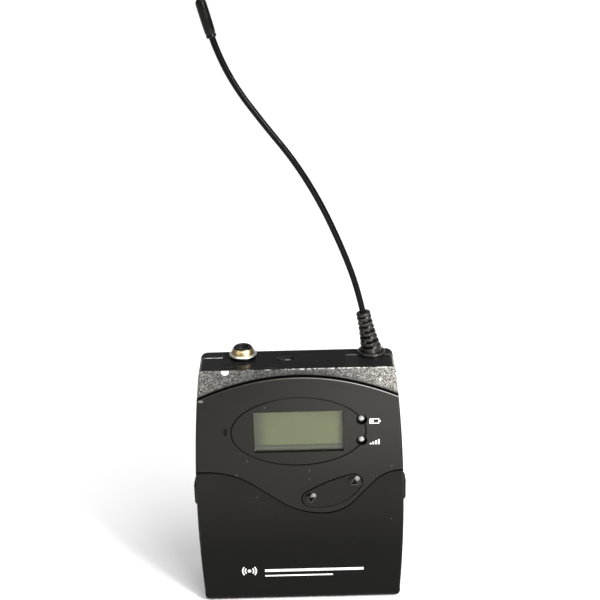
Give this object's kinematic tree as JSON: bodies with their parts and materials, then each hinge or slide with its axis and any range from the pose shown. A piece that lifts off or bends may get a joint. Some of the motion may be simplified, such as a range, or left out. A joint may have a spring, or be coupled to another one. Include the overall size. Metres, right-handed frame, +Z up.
{
  "type": "wireless bodypack transmitter",
  "caption": "Flat belt-worn radio transmitter case with display panel, fold-down battery cover, threaded microphone socket and curved whip antenna.",
  "frame": {"origin": "middle of the lower face, on which the pack stands", "axes": "+Z up the case to the antenna, -Y out of the front panel, +X to the right when looking at the panel"},
  "size_m": [0.0646, 0.0243, 0.1832],
  "materials": {
    "case": "fine-textured moulded plastic",
    "sparkle_band": "coarse sparkle paint on moulded plastic",
    "panel": "satin soft-touch plastic",
    "cover": "satin soft-touch plastic",
    "key": "satin plastic",
    "catch": "moulded plastic",
    "inner_plastic": "plain moulded plastic",
    "window": "clear plastic",
    "lcd": "reflective display cell",
    "light_guide": "milky plastic",
    "elastomer": "striped silicone rubber",
    "board": "solder mask",
    "components": "moulded packages",
    "tin": "tinned sheet",
    "led": "clear moulded epoxy",
    "steel": "ground steel",
    "cell_sleeve": "printed shrink sleeve",
    "nickel": "nickel plate",
    "gloss_plate": "semi-gloss black plastic",
    "gilt": "gilt turned brass",
    "knob": "moulded plastic",
    "rubber_gloss": "smooth rubber",
    "whip_rubber": "smooth rubber coating",
    "clip_steel": "black-finished spring steel",
    "label": "silver-grey foil label"
  },
  "bodies": {
    "case": {"rear_shell": "case", "front_frame": "sparkle_band", "front_panel": "panel", "battery_tray": "inner_plastic", "jack_body": "inner_plastic", "mute_switch": "inner_plastic", "display_window": "window", "lcd_glass": "lcd", "lcd_backlight": "light_guide", "contact_strips": "elastomer", "main_board": "board", "socket_board": "board", "board_components": "components", "rf_shield": "tin", "tact_switches": "tin", "led_upper": "led", "led_lower": "led", "rocker_pivot": "steel", "hinge_pin": "steel", "case_screws": "steel", "battery_lower": "cell_sleeve", "battery_upper": "cell_sleeve", "cell_plates": "nickel", "cell_springs": "nickel", "jack_nut": "nickel", "antenna_contact": "nickel", "top_plate": "gloss_plate", "jack_collar": "gilt", "antenna_ferrule": "gilt", "antenna_flange": "rubber_gloss", "antenna_boot": "rubber_gloss", "antenna_whip": "whip_rubber", "antenna_tip": "rubber_gloss", "type_label": "label"},
    "cover": {"battery_cover": "cover", "catch_retainer_left": "inner_plastic", "catch_retainer_right": "inner_plastic", "catch_spring_left": "steel", "catch_spring_right": "steel"},
    "left_catch": {"catch_left": "catch"},
    "right_catch": {"catch_right": "catch"},
    "rocker": {"rocker_key": "key"},
    "power": {"power_button": "key"},
    "set": {"set_button": "key"},
    "mute": {"mute_knob": "knob"},
    "clip": {"belt_clip": "clip_steel"}
  },
  "joints": [
    {"name": "cover_hinge", "type": "hinge", "parent": "case", "child": "cover", "pos_m": [0, -0.00815, 0.00205], "axis": [1, 0, 0], "range_deg": [0, 95]},
    {"name": "catch_left_press", "type": "slide", "parent": "cover", "child": "left_catch", "axis": [1, 0, 0], "range_m": [0, 0.001], "stiffness_N_per_m": 600, "deforming": ["catch_spring_left"]},
    {"name": "catch_right_press", "type": "slide", "parent": "cover", "child": "right_catch", "axis": [-1, 0, 0], "range_m": [0, 0.001], "stiffness_N_per_m": 600, "deforming": ["catch_spring_right"]},
    {"name": "rocker_tilt", "type": "hinge", "parent": "case", "child": "rocker", "pos_m": [0.0099, -0.0079, 0.03845], "axis": [-0.3907, 0, 0.9205], "range_deg": [-3, 3], "stiffness_Nm_per_rad": 0.05},
    {"name": "power_press", "type": "slide", "parent": "case", "child": "power", "axis": [0, 1, 0], "range_m": [0, 0.00025], "stiffness_N_per_m": 1200},
    {"name": "set_press", "type": "slide", "parent": "case", "child": "set", "axis": [0, 1, 0], "range_m": [0, 0.00025], "stiffness_N_per_m": 1200},
    {"name": "mute_slide", "type": "slide", "parent": "case", "child": "mute", "axis": [1, 0, 0], "range_m": [0, 0.0026]},
    {"name": "clip_flex", "type": "hinge", "parent": "case", "child": "clip", "pos_m": [0, 0.006, 0.058], "axis": [1, 0, 0], "range_deg": [0, 8], "stiffness_Nm_per_rad": 1.5}
  ]
}
